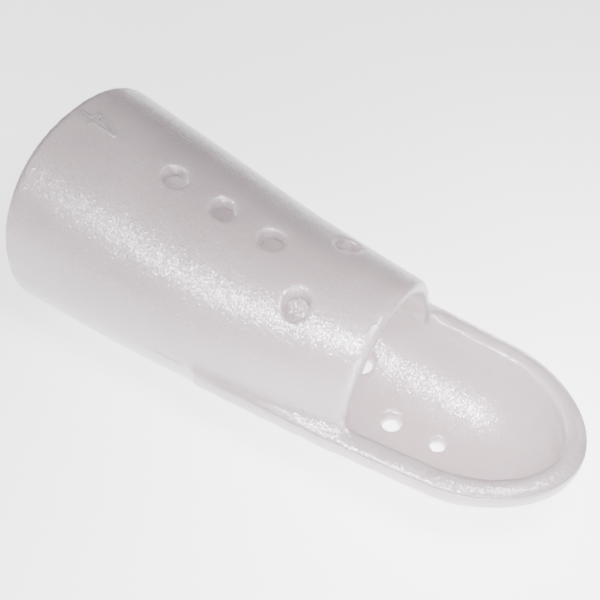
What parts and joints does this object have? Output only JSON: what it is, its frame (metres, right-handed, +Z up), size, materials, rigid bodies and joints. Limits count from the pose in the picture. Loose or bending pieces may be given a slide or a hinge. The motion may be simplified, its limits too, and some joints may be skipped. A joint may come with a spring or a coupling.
{
  "type": "finger splint",
  "caption": "Translucent moulded finger splint: a tapering open sleeve that runs on as a rimmed trough under the fingertip, with air holes.",
  "frame": {"origin": "centre of the bounding box's bottom, on the surface that the splint lies on, palm side down", "axes": "+X along the splint from its wide mouth to its closed tip, +Z up, away from the palm side"},
  "size_m": [0.0604, 0.0254, 0.0252],
  "materials": {
    "translucent_plastic": "injection-moulded milky translucent polypropylene with a fine satin texture and a faint cool mauve cast"
  },
  "bodies": {
    "root": {"splint_shell": "translucent_plastic"}
  },
  "joints": []
}
